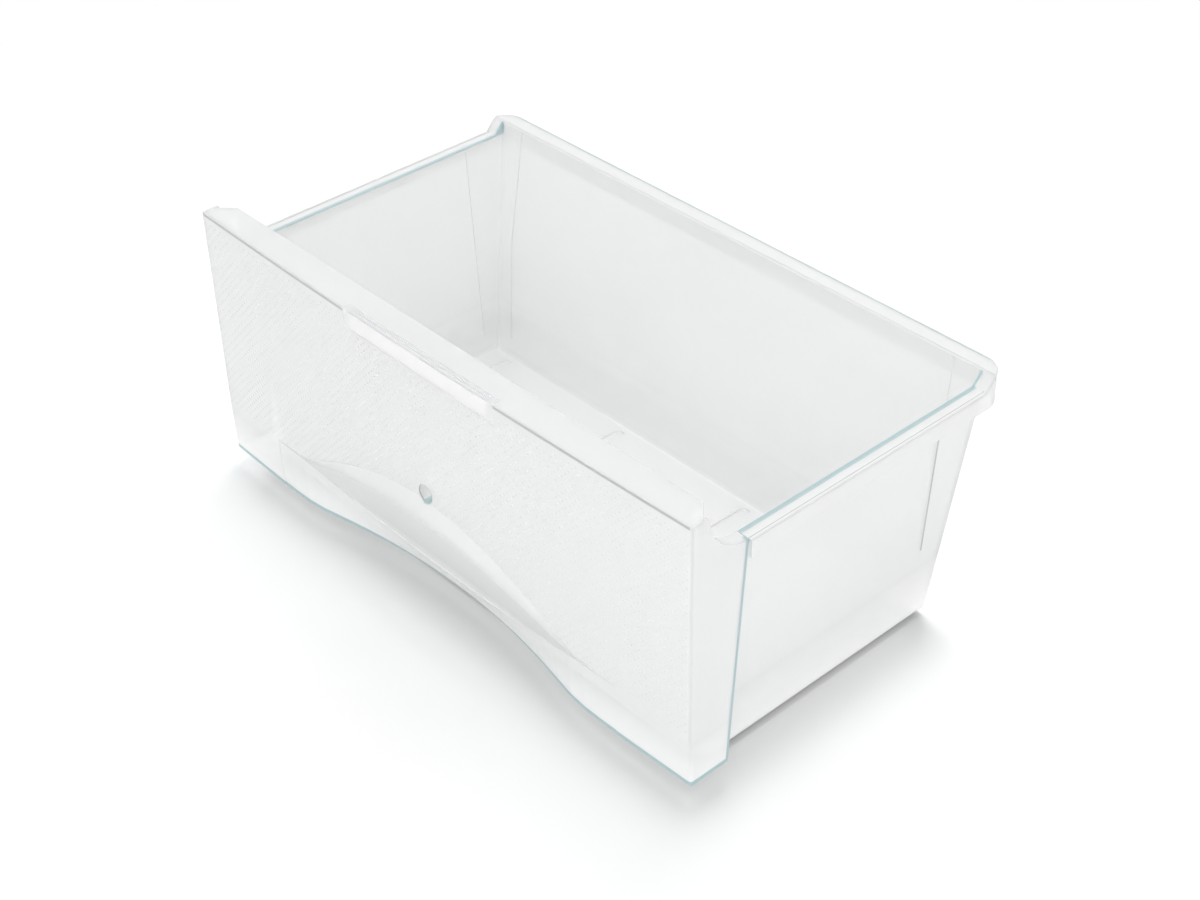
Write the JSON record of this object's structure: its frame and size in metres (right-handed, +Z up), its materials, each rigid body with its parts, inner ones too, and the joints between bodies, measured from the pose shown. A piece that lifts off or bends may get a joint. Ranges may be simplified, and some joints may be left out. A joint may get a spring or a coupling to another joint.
{
  "type": "refrigerator drawer",
  "caption": "Clear refrigerator drawer: open tub with side rails, wrap-round textured front with a finger scoop in its skirt, and a covered label strip in the top edge.",
  "frame": {"origin": "middle of the overall footprint, at the undersides of the floor runners", "axes": "+X along the front to the drawer's left rail as seen from behind, +Y to the rear, +Z up; the front panel faces -Y"},
  "size_m": [0.4536, 0.27, 0.201],
  "materials": {
    "clear_tub": "clear polystyrene, polished",
    "clear_panel": "clear polystyrene, dotted inside",
    "clear_cover": "clear, polished",
    "white_strip": "plain white"
  },
  "bodies": {
    "root": {"tub": "clear_tub", "front_panel": "clear_panel", "label_cover": "clear_cover", "label_strip": "white_strip"}
  },
  "joints": []
}
